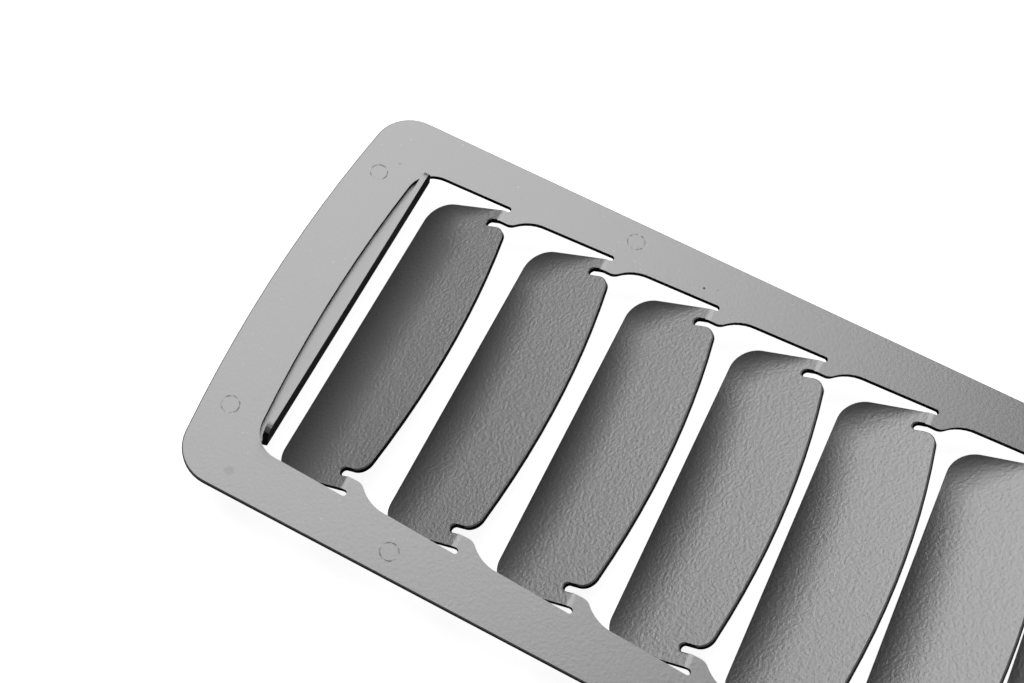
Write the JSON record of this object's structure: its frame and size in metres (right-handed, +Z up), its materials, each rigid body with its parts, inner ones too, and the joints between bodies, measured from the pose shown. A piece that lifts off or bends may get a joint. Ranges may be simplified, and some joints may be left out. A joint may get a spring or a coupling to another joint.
{
  "type": "louvred sheet metal panel",
  "caption": "Flat vent panel laser-cut from sheet metal: a broad frame carries tilted louvre blades on short folded straps, with a raised air lip under its leading end.",
  "frame": {"origin": "centre of the bounding box at its base, the plane on which the blades' low edges rest", "axes": "+X along the long rails from the lip end to the far end, +Y across the panel, +Z up through the panel's top face"},
  "size_m": [0.2618, 0.124, 0.0191],
  "materials": {
    "panel_coat": "satin grey powder coat with fine orange peel",
    "lip_coat": "satin grey powder coat with fine orange peel"
  },
  "bodies": {
    "root": {"louvre_panel": "panel_coat", "air_lip": "lip_coat"}
  },
  "joints": []
}
